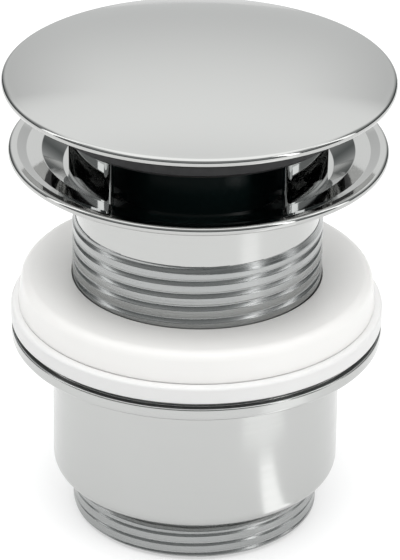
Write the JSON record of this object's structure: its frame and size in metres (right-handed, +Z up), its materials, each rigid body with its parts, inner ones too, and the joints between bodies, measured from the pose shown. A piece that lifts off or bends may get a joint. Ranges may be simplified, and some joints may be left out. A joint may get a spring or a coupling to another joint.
{
  "type": "pop up basin waste",
  "caption": "Chrome pop-up basin waste: a domed push cover over a dished flange, a threaded neck, white clamping seals and a cup with a threaded outlet.",
  "frame": {"origin": "centre of the outlet's lower end, on the neck's axis", "axes": "+Z up along the neck's axis, from the outlet to the cover; -Y is the front, where one gap between the crown's posts faces"},
  "size_m": [0.065, 0.065, 0.0842],
  "materials": {
    "chrome": "polished chrome plate on brass",
    "brass": "turned",
    "steel": "drawn and stamped stainless",
    "black_rubber": "matte",
    "black_plastic": "satin",
    "white_rubber": "matte",
    "white_plastic": "satin"
  },
  "bodies": {
    "neck": {"flange_neck": "chrome", "guard_crown": "chrome", "spider": "chrome", "hub_washer": "steel", "hub_nut": "brass", "sleeve": "brass", "sleeve_cap": "brass", "spring_seat": "steel", "spring": "steel"},
    "plug": {"cover": "chrome", "cover_seal": "black_rubber", "cover_boss": "brass", "body_clip": "steel", "plug_body": "black_plastic", "jam_nut": "brass", "stud": "steel", "plunger": "brass"},
    "cam": {"cam_ring": "white_plastic"},
    "clamp": {"seal_ring": "white_rubber", "slip_ring": "white_plastic"},
    "cup": {"cup": "chrome", "cup_gasket": "black_rubber"}
  },
  "joints": [
    {"name": "cover_push", "type": "slide", "parent": "neck", "child": "plug", "axis": [0, 0, -1], "range_m": [0, 0.007], "stiffness_N_per_m": 700, "springref_m": -0.006, "deforming": ["spring"]},
    {"name": "cam_turn", "type": "hinge", "parent": "plug", "child": "cam", "pos_m": [0, 0, 0.0625], "axis": [0, 0, 1], "range_deg": [0, 45.5]},
    {"name": "cup_travel", "type": "slide", "parent": "neck", "child": "clamp", "axis": [0, 0, 1], "range_m": [0, 0.00924]},
    {"name": "cup_turn", "type": "hinge", "parent": "clamp", "child": "cup", "pos_m": [0, 0, 0.03], "axis": [0, 0, 1], "range_deg": [0, 1440]}
  ],
  "couplings": [
    {"joint": "cam_turn", "follows": "cover_push", "rad_per_m": 112},
    {"joint": "cup_travel", "follows": "cup_turn", "m_per_rad": 0.00036749}
  ]
}
